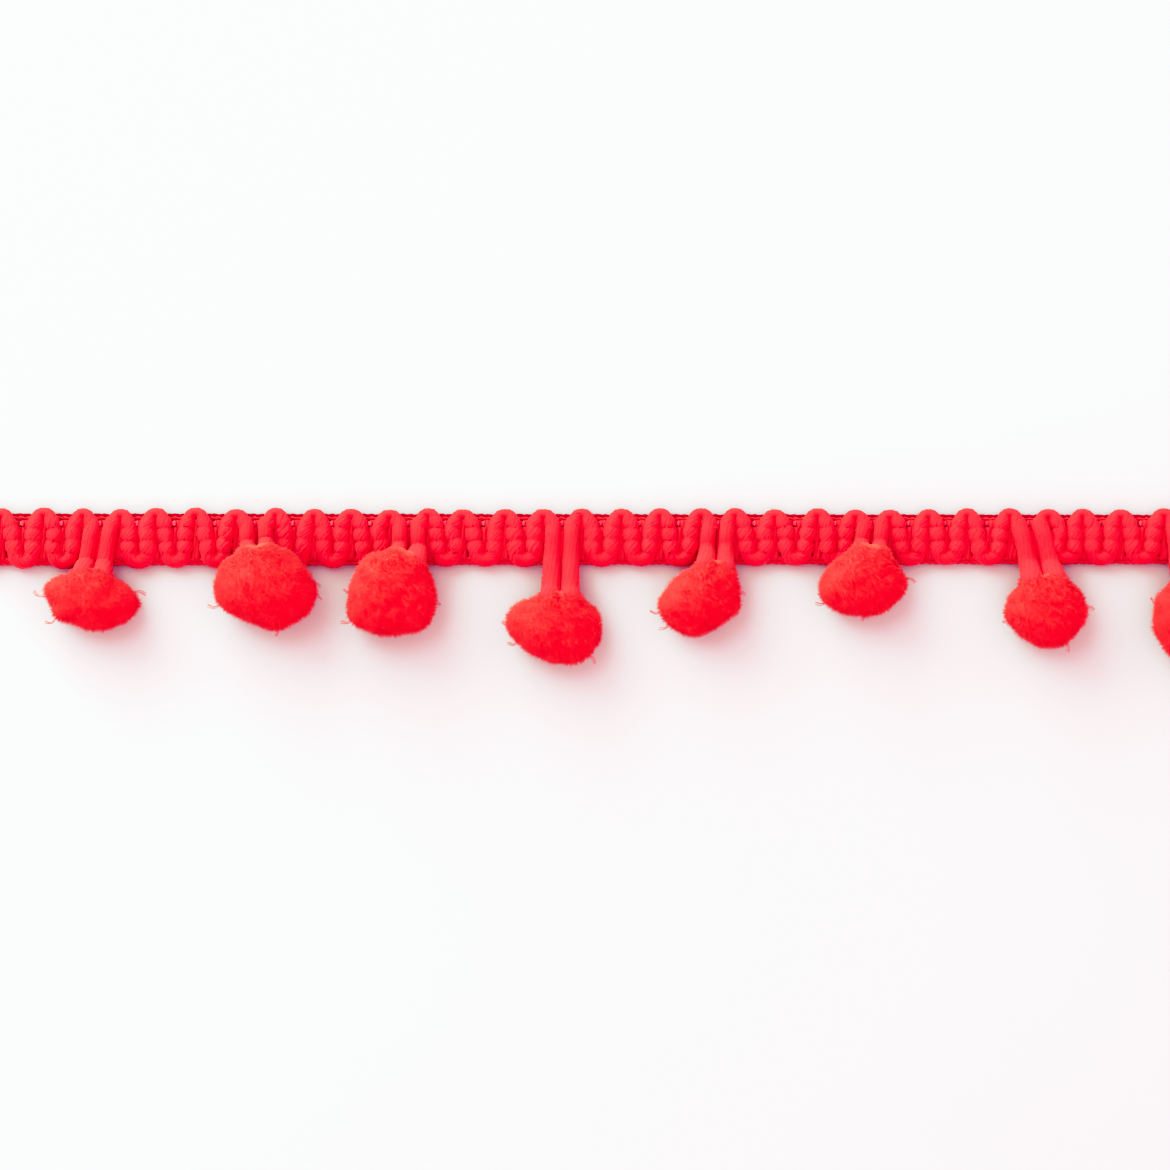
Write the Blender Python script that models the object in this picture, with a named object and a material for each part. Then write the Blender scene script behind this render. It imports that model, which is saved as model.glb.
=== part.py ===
"""Pompom fringe trim: a crocheted braid whose every fourth loop hangs down and holds a pompom.

Metres, +Z up. The trim lies face up on a table. X runs along the braid, +Y is its picot edge, and
the origin is in the middle of the braid's flat back.
"""

import math
import random
from collections import namedtuple

import bmesh
import bpy
import numpy as np
from mathutils import Matrix, Vector, noise

MM = 0.001

# The braid is one thick yarn laid in loops: up an arm, over a picot, down the next arm, round a turn.
LOOPS = 34
LOOP_PITCH = 3.5 * MM
YARN_RADIUS = 0.65 * MM
YARN_CENTRE_Z = 1.04 * MM
ARM_OFFSET = LOOP_PITCH / 4  # from the middle of a turn or a picot to its arms
PICOT_CENTRE_Y = 1.31 * MM
TURN_CENTRE_Y = -0.90 * MM

# Rows of fine chain stitches bind the loops, fill the gaps between them and dent each arm.
EDGE_Y = 2.34 * MM
FILL_Z = 0.75 * MM
CHAIN_ROWS_Y = (1.20 * MM, 0.05 * MM, -1.10 * MM)
DENT_DEPTH = 0.22 * MM
DENT_WIDTH = 0.30 * MM
PICOT_RISE = 0.52 * MM
PICOT_HALF_WIDTH = 1.15 * MM
TURN_RISE = 0.12 * MM

# The grid of the braid's face: shares of a loop along it, and heights across it in millimetres.
LOOP_STEPS = (0.0, 0.10, 0.25, 0.40, 0.50, 0.60, 0.75, 0.90)
FACE_ROWS = (-2.05, -1.65, -1.10, -0.52, 0.05, 0.62, 1.20, 1.72, 2.14)

# A stem is a loop of the same yarn, let down: two soft legs that lie in a channel of the braid.
FIRST_STEM = 3
CHANNEL_FLOOR_Z = 0.60 * MM
CHANNEL_TOP_Y = 1.30 * MM
CHANNEL_SIDE = 0.05  # share of a loop on each side that stays at the fill
LEG_HALF_WIDTH = 0.73 * MM
LEG_HALF_THICKNESS = 0.46 * MM
LEG_CENTRE_Z = CHANNEL_FLOOR_Z + 0.31 * MM + LEG_HALF_THICKNESS
LEG_ROOT_Y = 1.02 * MM
NECK_Z = 1.9 * MM
NECK_ROOM = 1.0 * MM  # a pompom that leaves less than this below the braid draws its legs up over the edge
EARLY_RISE_Y = -0.6 * MM
EARLY_RISE = 0.5 * MM
LEG_SIDES = 8
LEG_STEPS = 9
NECK_OFFSET = 0.80 * MM  # half the distance between the legs where they enter the pompom

# A pompom bulges over the braid's edge without touching it, and is flat where it lies on the table.
CLEAR_Z = 2.10 * MM
RAMP_LENGTH = 1.70 * MM
RAMP_TOP_Y = -2.45 * MM
BALL_SUBDIVISIONS = 3
LUMP_SIZE = 2.2 * MM
LUMP_DEPTH = 0.07  # share of the ball's own radius
LOCKS_PER_POMPOM = 30
LOCK_LENGTH = 0.55 * MM
LOCK_ROOT_SHARE = 0.55  # width of a lock's root, as a share of the face that it grows from
LOCK_COMB = 0.5  # how far a lock leans to one side, as a share of its length
LOWEST_LOCK = -0.35  # how far down, as a share of straight down, a face with a lock may look
LOWEST_LOCK_OVER_BRAID = 0.4
REST_FLAT = 0.12 * MM  # how much of a ball's round underside is pressed flat
SEED = 7

SHARP_ANGLE = math.radians(50)
YARN_RED = (0.92, 0.012, 0.035, 1.0)
PILE_RED = (0.95, 0.010, 0.030, 1.0)

# One row for each pompom. Sizes are in millimetres; x and y are its centre, drop is its size along Y,
# turn is in degrees about Z, fullness is 2 for an egg, less for a lemon and more for a block, and
# neck is the x of the middle of its stem below the braid.
Pompom = namedtuple("Pompom", "x y width drop height turn fullness neck")
POMPOMS = (
    Pompom(x=-48.1, y=-5.50, width=8.2, drop=5.9, height=5.8, turn=-4, fullness=1.85, neck=-48.0),
    Pompom(x=-32.4, y=-4.35, width=9.8, drop=8.0, height=6.9, turn=-5, fullness=1.95, neck=-33.0),
    Pompom(x=-20.8, y=-4.80, width=8.0, drop=7.8, height=6.6, turn=0, fullness=2.45, neck=-19.8),
    Pompom(x=-6.2, y=-8.05, width=8.6, drop=6.6, height=6.2, turn=-8, fullness=1.95, neck=-5.6),
    Pompom(x=7.2, y=-5.45, width=8.2, drop=5.9, height=6.0, turn=20, fullness=2.00, neck=8.6),
    Pompom(x=22.1, y=-3.80, width=8.4, drop=6.5, height=6.2, turn=9, fullness=1.90, neck=22.6),
    Pompom(x=38.6, y=-6.60, width=7.9, drop=6.6, height=6.3, turn=0, fullness=1.95, neck=37.8),
    Pompom(x=52.4, y=-6.90, width=7.9, drop=6.8, height=6.4, turn=6, fullness=2.10, neck=51.5),
)


def clear_scene():
    for obj in list(bpy.data.objects):
        bpy.data.objects.remove(obj)


def fibre_material(name, colour):
    material = bpy.data.materials.new(name)
    material.use_nodes = True
    shader = material.node_tree.nodes["Principled BSDF"]
    shader.inputs["Base Color"].default_value = colour
    shader.inputs["Roughness"].default_value = 0.9
    shader.inputs["Metallic"].default_value = 0.0
    return material


def add_object(name, mesh, material):
    obj = bpy.data.objects.new(name, mesh)
    bpy.context.scene.collection.objects.link(obj)
    mesh.materials.append(material)
    return obj


def mesh_from(bm, name):
    bmesh.ops.recalc_face_normals(bm, faces=bm.faces)
    mesh = bpy.data.meshes.new(name)
    bm.to_mesh(mesh)
    bm.free()
    return mesh


def smooth(obj):
    obj.data.shade_smooth()
    obj.data.set_sharp_from_angle(angle=SHARP_ANGLE)


def gap_x(index):
    """The open gap before each loop, where a picot bridges it. Gaps 0 and LOOPS are the cut ends."""
    return (index - LOOPS / 2) * LOOP_PITCH


def turn_x(index):
    return gap_x(index) + LOOP_PITCH / 2


def is_stem(index):
    return index % (LOOPS // len(POMPOMS)) == FIRST_STEM


def yarn_line():
    """Points down the middle of the laid yarn, in plan, without the loops that hang as stems."""
    arm = [(side * ARM_OFFSET, y) for side in (-1, 1) for y in np.linspace(TURN_CENTRE_Y, PICOT_CENTRE_Y, 12)]
    arc = [(ARM_OFFSET * math.cos(a), ARM_OFFSET * math.sin(a)) for a in np.linspace(0, math.pi, 13)]
    points = []
    for index in range(LOOPS):
        if not is_stem(index):
            points += [(turn_x(index) + x, y) for x, y in arm]
            points += [(turn_x(index) + x, TURN_CENTRE_Y - y) for x, y in arc]
    for index in range(1, LOOPS):
        points += [(gap_x(index) + x, PICOT_CENTRE_Y + y) for x, y in arc]
    return np.array(points)


def rounded(distance, half_width):
    """A round bump: 1 in the middle and 0 from half_width outwards."""
    return math.sqrt(max(0.0, 1 - (distance / half_width) ** 2))


def edge_ys(x):
    """The braid's lower and upper edge at x."""
    picot = max(rounded(x - gap_x(i), PICOT_HALF_WIDTH) for i in range(1, LOOPS))
    turn = max(rounded(x - turn_x(i), PICOT_HALF_WIDTH) for i in range(LOOPS))
    return -EDGE_Y - TURN_RISE * turn, EDGE_Y + PICOT_RISE * picot


def face_z(x, y, line):
    """The height of the braid's face: laid yarn over the fill, dented by the chain stitches."""
    loop = min(max(int((x - gap_x(0)) / LOOP_PITCH), 0), LOOPS - 1)
    in_loop = (x - gap_x(loop)) / LOOP_PITCH
    if is_stem(loop) and CHANNEL_SIDE < in_loop < 1 - CHANNEL_SIDE and y < CHANNEL_TOP_Y:
        return CHANNEL_FLOOR_Z
    off_line = np.hypot(line[:, 0] - x, line[:, 1] - y).min()
    if off_line >= YARN_RADIUS:
        return FILL_Z
    dent = sum(math.exp(-(((y - row) / DENT_WIDTH) ** 2)) for row in CHAIN_ROWS_Y)
    crown = YARN_CENTRE_Z + math.sqrt(YARN_RADIUS**2 - off_line**2)
    return max(FILL_Z, crown - DENT_DEPTH * dent)


def build_braid():
    line = yarn_line()
    xs = [gap_x(i) + step * LOOP_PITCH for i in range(LOOPS) for step in LOOP_STEPS] + [gap_x(LOOPS)]
    bm = bmesh.new()
    columns = []
    for x in xs:
        low, high = edge_ys(x)
        ys = [low, *(row * MM for row in FACE_ROWS), high]
        face = [bm.verts.new((x, y, FILL_Z if y in (low, high) else face_z(x, y, line))) for y in ys]
        back = [bm.verts.new((x, y, 0)) for y in (high, low)]
        columns.append(face + back)
    for left, right in zip(columns, columns[1:]):
        for i in range(len(left)):
            j = (i + 1) % len(left)
            bm.faces.new((left[i], left[j], right[j], right[i]))
    bm.faces.new(columns[0])
    bm.faces.new(reversed(columns[-1]))
    braid = add_object("braid", mesh_from(bm, "braid"), fibre_material("braid_yarn", YARN_RED))
    smooth(braid)


def floor_under(y):
    """The lowest that a pompom may reach at y: the table, or clear above the braid."""
    share = min(1.0, max(0.0, (y - RAMP_TOP_Y + RAMP_LENGTH) / RAMP_LENGTH))
    return CLEAR_Z * share


def ball_point(direction, size, lumps):
    """Where a unit direction meets the pompom, from the pompom's own centre."""
    reach = sum(abs(d) ** size.fullness for d in direction) ** (-1 / size.fullness)
    swell = 1 + LUMP_DEPTH * noise.noise(lumps + direction * size.width * MM / LUMP_SIZE)
    half = Vector((size.width, size.drop, size.height)) * MM / 2
    return Vector(d * h for d, h in zip(direction * reach * swell, half))


def grow_locks(bm, centre, rng):
    """Raises a thin lock on some of the faces that look out and up, and are clear of the braid."""
    bm.normal_update()
    free = []
    for face in bm.faces:
        below_braid = face.calc_center_median().y < RAMP_TOP_Y - LOCK_LENGTH
        if face.normal.z > (LOWEST_LOCK if below_braid else LOWEST_LOCK_OVER_BRAID):
            free.append(face)
    for face in rng.sample(free, LOCKS_PER_POMPOM):
        middle = face.calc_center_median()
        out = (face.normal + (middle - centre).normalized()).normalized()
        comb = Vector([rng.uniform(-LOCK_COMB, LOCK_COMB) for _ in range(3)])
        tip_at = middle + (out + comb).normalized() * LOCK_LENGTH * rng.uniform(0.5, 1.0)
        bmesh.ops.inset_individual(bm, faces=[face], thickness=0, depth=0)
        for vert in face.verts:
            vert.co = middle + (vert.co - middle) * LOCK_ROOT_SHARE
        tip = bmesh.ops.poke(bm, faces=[face])["verts"][0]
        tip.co = tip_at


def build_ball(name, size, material, rng):
    centre = Vector((size.x, size.y, size.height / 2)) * MM
    centre.z -= REST_FLAT
    turn = Matrix.Rotation(math.radians(size.turn), 3, "Z")
    lumps = Vector([rng.uniform(0, 50) for _ in range(3)])
    bm = bmesh.new()
    bmesh.ops.create_icosphere(bm, subdivisions=BALL_SUBDIVISIONS, radius=1)
    for vert in bm.verts:
        vert.co = centre + turn @ ball_point(vert.co.normalized(), size, lumps)
        vert.co.z = max(vert.co.z, floor_under(vert.co.y))
    grow_locks(bm, centre, rng)
    ball = add_object(name, mesh_from(bm, name), material)
    smooth(ball)
    return ball, centre


def leg_path(side, stem_x, size, centre):
    """A leg's centreline: along its channel, over the braid's edge and down into the pompom."""
    root = Vector((stem_x + side * ARM_OFFSET, LEG_ROOT_Y, LEG_CENTRE_Z))
    edge = Vector((root.x, -EDGE_Y, LEG_CENTRE_Z))
    neck = Vector((size.neck * MM + side * NECK_OFFSET, (centre.y - EDGE_Y) / 2, NECK_Z))
    end = centre + Vector((side * NECK_OFFSET, 0, 0))
    if neck.y > edge.y - NECK_ROOM:
        edge.y = EARLY_RISE_Y
        neck = (edge + end) / 2 + Vector((0, 0, EARLY_RISE))
    knots = (root, (root + edge) / 2, edge, neck, end)
    return [smooth_point(knots, t) for t in np.linspace(0, len(knots) - 1, LEG_STEPS)]


def smooth_point(knots, t):
    """A Catmull-Rom curve through the knots."""
    i = min(int(t), len(knots) - 2)
    f = t - i
    a, b, c, d = (knots[min(max(k, 0), len(knots) - 1)] for k in (i - 1, i, i + 1, i + 2))
    return 0.5 * (2 * b + (c - a) * f + (2 * a - 5 * b + 4 * c - d) * f**2 + (3 * b - a - 3 * c + d) * f**3)


def build_leg(name, path, material):
    """A soft, slightly flattened strand swept along its path, with closed ends."""
    bm = bmesh.new()
    rings = []
    for i, point in enumerate(path):
        along = (path[min(i + 1, len(path) - 1)] - path[max(i - 1, 0)]).normalized()
        across = along.cross(Vector((0, 0, 1))).normalized()
        up = across.cross(along)
        ring = []
        for k in range(LEG_SIDES):
            a = 2 * math.pi * (k + 0.5) / LEG_SIDES
            offset = across * LEG_HALF_WIDTH * math.cos(a) + up * LEG_HALF_THICKNESS * math.sin(a)
            ring.append(bm.verts.new(point + offset))
        rings.append(ring)
    for lower, upper in zip(rings, rings[1:]):
        for k in range(LEG_SIDES):
            j = (k + 1) % LEG_SIDES
            bm.faces.new((lower[k], lower[j], upper[j], upper[k]))
    bm.faces.new(rings[0])
    bm.faces.new(reversed(rings[-1]))
    leg = add_object(name, mesh_from(bm, name), material)
    leg.hide_render = True
    leg.display_type = "WIRE"
    return leg


def build_pompom(number, size, stem_x, rng):
    name = f"pompom_{number}"
    material = fibre_material(f"{name}_pile", PILE_RED)
    ball, centre = build_ball(name, size, material, rng)
    for side, label in ((-1, "left"), (1, "right")):
        leg = build_leg(f"{name}_{label}_leg", leg_path(side, stem_x, size, centre), material)
        union = ball.modifiers.new(f"{label} leg", "BOOLEAN")
        union.operation = "UNION"
        union.object = leg


def main():
    clear_scene()
    rng = random.Random(SEED)
    build_braid()
    stems = [turn_x(i) for i in range(LOOPS) if is_stem(i)]
    for number, (size, stem_x) in enumerate(zip(POMPOMS, stems), start=1):
        build_pompom(number, size, stem_x, rng)


main()
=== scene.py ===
import math
import random
from functools import partial

import bmesh
import bpy
import numpy as np
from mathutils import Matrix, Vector, noise


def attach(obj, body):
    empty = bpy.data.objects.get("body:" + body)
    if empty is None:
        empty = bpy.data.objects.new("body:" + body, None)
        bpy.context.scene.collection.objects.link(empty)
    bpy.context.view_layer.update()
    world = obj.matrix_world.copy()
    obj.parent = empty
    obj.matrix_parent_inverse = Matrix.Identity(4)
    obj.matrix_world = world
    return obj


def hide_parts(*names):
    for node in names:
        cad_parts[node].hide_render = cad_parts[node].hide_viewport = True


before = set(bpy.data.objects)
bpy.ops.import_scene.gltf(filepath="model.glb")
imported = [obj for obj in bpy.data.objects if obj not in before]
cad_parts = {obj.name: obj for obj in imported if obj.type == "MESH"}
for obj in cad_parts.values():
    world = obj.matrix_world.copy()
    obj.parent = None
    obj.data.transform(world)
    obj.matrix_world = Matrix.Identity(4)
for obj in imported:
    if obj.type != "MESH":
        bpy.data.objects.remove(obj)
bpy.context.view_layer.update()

mm = 0.001
tableGap = 0.01 * mm  # the lowest fibres stay this far above the table
print("frame loaded:", len(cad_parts), "nodes")


# small helpers

def linear(hexColour):
    # sRGB hex to the linear values that shaders want
    values = [int(hexColour[i:i + 2], 16) / 255 for i in (1, 3, 5)]
    return [v / 12.92 if v <= 0.04045 else ((v + 0.055) / 1.055) ** 2.4 for v in values] + [1.0]


def addNode(tree, kind, links=None, **settings):
    # links: socket name or number -> a plain value, an output, or a node for its first output
    node = tree.nodes.new(kind)
    for name, value in settings.items():
        setattr(node, name, value)
    for name, value in (links or {}).items():
        if isinstance(value, bpy.types.Node):
            value = value.outputs[0]
        if isinstance(value, bpy.types.NodeSocket):
            tree.links.new(value, node.inputs[name])
        else:
            node.inputs[name].default_value = value
    return node


def newTree(name, inputs):
    # a geometry tree with Geometry in and out and the named inputs: (name, socket type, value)
    tree = bpy.data.node_groups.new(name, "GeometryNodeTree")
    tree.interface.new_socket("Geometry", in_out="INPUT", socket_type="NodeSocketGeometry")
    tree.interface.new_socket("Geometry", in_out="OUTPUT", socket_type="NodeSocketGeometry")
    for socketName, socketType, value in inputs:
        socket = tree.interface.new_socket(socketName, in_out="INPUT", socket_type=socketType)
        if value is not None:
            socket.default_value = value
    return tree, tree.nodes.new("NodeGroupInput"), tree.nodes.new("NodeGroupOutput")


def runTree(obj, tree, values):
    # runs the tree on the object and gives the result as a plain mesh
    modifier = obj.modifiers.new(tree.name, "NODES")
    modifier.node_group = tree
    for item in tree.interface.items_tree:
        if item.in_out == "INPUT" and item.name in values:
            modifier[item.identifier] = values[item.name]
    graph = bpy.context.evaluated_depsgraph_get()
    mesh = bpy.data.meshes.new_from_object(
        obj.evaluated_get(graph), preserve_all_data_layers=True, depsgraph=graph)
    obj.modifiers.remove(modifier)
    return mesh


def newObject(name, data):
    obj = bpy.data.objects.new(name, data)
    bpy.context.scene.collection.objects.link(obj)
    return obj


def curveObject(name, runs):
    # runs: lists of (place, girth); the girth is kept as each point's radius
    curve = bpy.data.curves.new(name, "CURVE")
    curve.dimensions = "3D"
    for run in runs:
        spline = curve.splines.new("POLY")
        spline.points.add(len(run) - 1)
        for point, (place, girth) in zip(spline.points, run):
            point.co = (*place, 1.0)
            point.radius = girth
    return newObject(name, curve)


def clamp(share):
    return min(1.0, max(0.0, share))


def triangles(mesh):
    return sum(len(face.vertices) - 2 for face in mesh.polygons)


def softenFibres(mesh, share=1.6):
    # a fibre is shaded for the most part like the surface that it stands on, as a dense pile is
    count = len(mesh.vertices)
    own = np.empty(count * 3, np.float32)
    mesh.vertices.foreach_get("normal", own)
    facing = np.zeros(count * 3, np.float32)
    if "facing" in mesh.attributes:
        mesh.attributes["facing"].data.foreach_get("vector", facing)
    normals = (own + share * facing).reshape(count, 3)
    normals /= np.maximum(np.linalg.norm(normals, axis=1, keepdims=True), 1e-6)
    mesh.shade_smooth()
    mesh.normals_split_custom_set_from_vertices(normals.tolist())


def joinMeshes(name, meshes):
    # one object from several plain meshes, with their materials and attributes
    parts = [newObject(name + "Part", mesh) for mesh in meshes]
    with bpy.context.temp_override(active_object=parts[0], selected_editable_objects=parts):
        bpy.ops.object.join()
    parts[0].name = name
    parts[0].data.name = name
    softenFibres(parts[0].data)
    return parts[0]


def liftClear(piece):
    # nothing sinks into the table
    places = np.empty(len(piece.data.vertices) * 3, np.float32)
    piece.data.vertices.foreach_get("co", places)
    places[2::3] = np.maximum(places[2::3], tableGap)
    piece.data.vertices.foreach_set("co", places)
    piece.data.update()


def smoothRun(knots, step):
    # Catmull-Rom through (place, girth) knots, with a point about every step
    run = []
    for i in range(len(knots) - 1):
        (a, ga), (b, gb), (c, gc), (d, gd) = (
            knots[min(max(k, 0), len(knots) - 1)] for k in (i - 1, i, i + 1, i + 2))
        count = max(1, round((c - b).length / step))
        for k in range(count):
            f = k / count
            w = (-f + 2 * f**2 - f**3, 2 - 5 * f**2 + 3 * f**3, f + 4 * f**2 - 3 * f**3, f**3 - f**2)
            place = (a * w[0] + b * w[1] + c * w[2] + d * w[3]) / 2
            run.append((place, (ga * w[0] + gb * w[1] + gc * w[2] + gd * w[3]) / 2))
    return run + [knots[-1]]


# materials

def fibreMaterial(name, look):
    # acrylic staple yarn, spun loose: matt, with a pale bloom where light grazes the fibre ends
    material = bpy.data.materials.new(name)
    material.use_nodes = True
    tree = material.node_tree
    add = partial(addNode, tree)
    shader = tree.nodes["Principled BSDF"]
    plain = {"Roughness": "roughness", "Specular IOR Level": "specular", "IOR": "ior",
             "Sheen Weight": "sheen", "Sheen Roughness": "sheenRoughness"}
    for socket, key in plain.items():
        shader.inputs[socket].default_value = look[key]
    for socket, key in {"Specular Tint": "glossTint", "Sheen Tint": "sheenTint"}.items():
        shader.inputs[socket].default_value = linear(look[key])
    along = add("ShaderNodeAttribute", attribute_name="strand")
    # fine filaments, drawn as coarse as 0.07 mm so that they show
    stretched = add("ShaderNodeMapping", {
        "Vector": along.outputs["Vector"], "Scale": (1, 1, look["filamentStretch"])})
    filaments = add("ShaderNodeTexNoise", {
        "Vector": stretched, "Scale": 1 / look["filament"], "Detail": 2.0})
    coordinates = add("ShaderNodeTexCoord")
    patches = add("ShaderNodeTexNoise", {
        "Vector": coordinates.outputs["Object"], "Scale": 1 / look["patch"], "Detail": 3.0})
    shade = add("ShaderNodeAttribute", attribute_name="shade")
    fine = add("ShaderNodeMath", {0: filaments, 1: patches}, operation="ADD")
    mixed = add("ShaderNodeMath", {0: fine, 1: shade.outputs["Fac"]}, operation="ADD")
    ramp = add("ShaderNodeMapRange", {
        "Value": mixed, "From Min": look["darkAt"], "From Max": look["lightAt"]})
    colour = add("ShaderNodeMix", {0: ramp, 6: linear(look["dark"]), 7: linear(look["light"])},
                 data_type="RGBA")
    tree.links.new(colour.outputs[2], shader.inputs["Base Color"])
    bump = add("ShaderNodeBump", {
        "Height": filaments, "Strength": look["bump"], "Distance": look["filament"]})
    tree.links.new(bump.outputs[0], shader.inputs["Normal"])
    return material


braidLook = {
    "dark": "#BA121C",
    "light": "#E10A2C",
    "roughness": 0.85,
    "specular": 0.95,
    "ior": 1.68,
    "glossTint": "#FFFFA8",
    "sheen": 0.10,
    "sheenRoughness": 0.80,
    "sheenTint": "#FFDCC0",
    "filament": 0.07 * mm,
    "filamentStretch": 0.12,
    "patch": 0.5 * mm,
    "darkAt": 0.75,
    "lightAt": 1.3,
    "bump": 0.5,
}
# trimmed pile: brighter and plainer, because light goes from fibre to fibre
pileLook = dict(braidLook, dark="#F60028", light="#FF002E", roughness=0.9, ior=2.04, sheen=0.05,
                patch=1.2 * mm, darkAt=0.7, lightAt=1.6, bump=0.15)
# hard plied thread, without bloom; its dark colour is partly its own and partly painted shade, for threads
# that lie low between and behind the yarn
threadLookPaintedShade = dict(braidLook, dark="#900012", light="#A40016", sheen=0.0, specular=0.3)

braidFibre = fibreMaterial("looselySpunAcrylic", braidLook)
pileFibre = fibreMaterial("trimmedAcrylicPile", pileLook)
threadFibrePaintedShade = fibreMaterial("pliedThreadPaintedShade", threadLookPaintedShade)
# filler yarn: a little darker than the laid yarn, as painted shade in the gaps between the arms where it
# lies
fillerFibrePaintedShade = fibreMaterial("acrylicFillerYarnPaintedShade", dict(braidLook, dark="#BA101E", light="#CE0A26"))
# pale thread coloured as painted light: it stands in for the bright floor seen through the holes
paintedGlintFibre = fibreMaterial("paintedGlintThread", dict(threadLookPaintedShade, dark="#EB5350", light="#F96E6A"))


# Geometry Nodes: a yarn of many strands, laid along a path

strandPattern = {
    "wanderSize": 0.9 * mm,  # how far a strand runs before it wanders
    "apart": 7.3,  # keeps the strands from wandering alike
    "swell": 0.16,  # how much a strand stands out or sinks as it wanders
    "across": 0.15 * mm,  # width of the filament pattern round a strand
    "shadeApart": 0.5,  # how far the filament pattern is shifted from one strand to another
}


def strandTree():
    tree, given, out = newTree("yarn of strands", (
        ("Ring Spacing", "NodeSocketFloat", 0.25 * mm),
        ("Strands", "NodeSocketInt", 11),
        ("Strand Offset", "NodeSocketFloat", 0.76),
        ("Strand Girth", "NodeSocketFloat", 0.27),
        ("Sides", "NodeSocketInt", 5),
        ("Turns Per Metre", "NodeSocketFloat", 60.0),
        ("Flatness", "NodeSocketFloat", 1.0),
        ("Wander", "NodeSocketFloat", 0.0),
        ("Softness", "NodeSocketFloat", 0.4),
        ("Seed", "NodeSocketInt", 1),
        ("Material", "NodeSocketMaterial", None),
    ))
    inputs = given.outputs
    add = partial(addNode, tree)
    rings = add("GeometryNodeResampleCurve",
                {"Curve": inputs["Geometry"], "Length": inputs["Ring Spacing"]}, mode="LENGTH")
    upright = add("GeometryNodeSetCurveNormal", {"Curve": rings}, mode="Z_UP")
    copies = add("GeometryNodeDuplicateElements",
                 {"Geometry": upright, "Amount": inputs["Strands"]}, domain="SPLINE")
    number = copies.outputs["Duplicate Index"]
    # the angle of this strand round the yarn: its share of a turn, and the twist
    share = add("ShaderNodeMath", {0: number, 1: inputs["Strands"]}, operation="DIVIDE")
    spline = add("GeometryNodeSplineParameter")
    twist = add("ShaderNodeMath", {0: spline.outputs["Length"], 1: inputs["Turns Per Metre"]},
                operation="MULTIPLY")
    turns = add("ShaderNodeMath", {0: share, 1: twist}, operation="ADD")
    # slow wander, so that strands bunch and part
    place = add("GeometryNodeInputPosition")
    strandShift = add("ShaderNodeCombineXYZ", {"X": number, "Y": inputs["Seed"]})
    scaled = add("ShaderNodeVectorMath", {0: place, "Scale": 1 / strandPattern["wanderSize"]},
                 operation="SCALE")
    shifted = add("ShaderNodeVectorMath", {0: strandShift, "Scale": strandPattern["apart"]},
                  operation="SCALE")
    wanderAt = add("ShaderNodeVectorMath", {0: scaled, 1: shifted}, operation="ADD")
    wander = add("ShaderNodeTexNoise", {"Vector": wanderAt, "Scale": 1.0, "Detail": 1.0})
    centred = add("ShaderNodeMath", {0: wander, 1: -0.5}, operation="ADD")
    wandered = add("ShaderNodeMath", {0: centred, 1: inputs["Wander"], 2: turns},
                   operation="MULTIPLY_ADD")
    angle = add("ShaderNodeMath", {0: wandered, 1: 2 * math.pi}, operation="MULTIPLY")
    cosine = add("ShaderNodeMath", {0: angle}, operation="COSINE")
    sine = add("ShaderNodeMath", {0: angle}, operation="SINE")
    flat = add("ShaderNodeMath", {0: sine, 1: inputs["Flatness"]}, operation="MULTIPLY")
    normal = add("GeometryNodeInputNormal")
    tangent = add("GeometryNodeInputTangent")
    binormal = add("ShaderNodeVectorMath", {0: tangent, 1: normal}, operation="CROSS_PRODUCT")
    sideways = add("ShaderNodeVectorMath", {0: normal, "Scale": cosine}, operation="SCALE")
    upwards = add("ShaderNodeVectorMath", {0: binormal, "Scale": flat}, operation="SCALE")
    outwards = add("ShaderNodeVectorMath", {0: sideways, 1: upwards}, operation="ADD")
    girth = add("GeometryNodeInputRadius")
    reach = add("ShaderNodeMath", {0: girth, 1: inputs["Strand Offset"]}, operation="MULTIPLY")
    swollen = add("ShaderNodeMath", {0: centred, 1: strandPattern["swell"], 2: 1.0},
                  operation="MULTIPLY_ADD")
    reached = add("ShaderNodeMath", {0: reach, 1: swollen}, operation="MULTIPLY")
    offset = add("ShaderNodeVectorMath", {0: outwards, "Scale": reached}, operation="SCALE")
    soft = add("ShaderNodeVectorMath", {0: outwards, "Scale": inputs["Softness"]}, operation="SCALE")
    faced = add("GeometryNodeStoreNamedAttribute", {"Geometry": copies, "Name": "facing", "Value": soft},
                data_type="FLOAT_VECTOR")
    laid = add("GeometryNodeSetPosition", {"Geometry": faced, "Offset": offset})
    along = add("GeometryNodeStoreNamedAttribute",
                {"Geometry": laid, "Name": "along", "Value": spline.outputs["Length"]})
    strandTone = add("FunctionNodeRandomValue", {2: 0.0, 3: 1.0, "ID": number, "Seed": inputs["Seed"]})
    shaded = add("GeometryNodeStoreNamedAttribute",
                 {"Geometry": along, "Name": "shade", "Value": strandTone.outputs[1]})
    thick = add("ShaderNodeMath", {0: girth, 1: inputs["Strand Girth"]}, operation="MULTIPLY")
    circle = add("GeometryNodeCurvePrimitiveCircle", {"Resolution": inputs["Sides"], "Radius": 1.0})
    section = add("GeometryNodeStoreNamedAttribute",
                  {"Geometry": circle, "Name": "section", "Value": place}, data_type="FLOAT_VECTOR")
    tube = add("GeometryNodeCurveToMesh",
               {"Curve": shaded, "Profile Curve": section, "Scale": thick, "Fill Caps": True})
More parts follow.
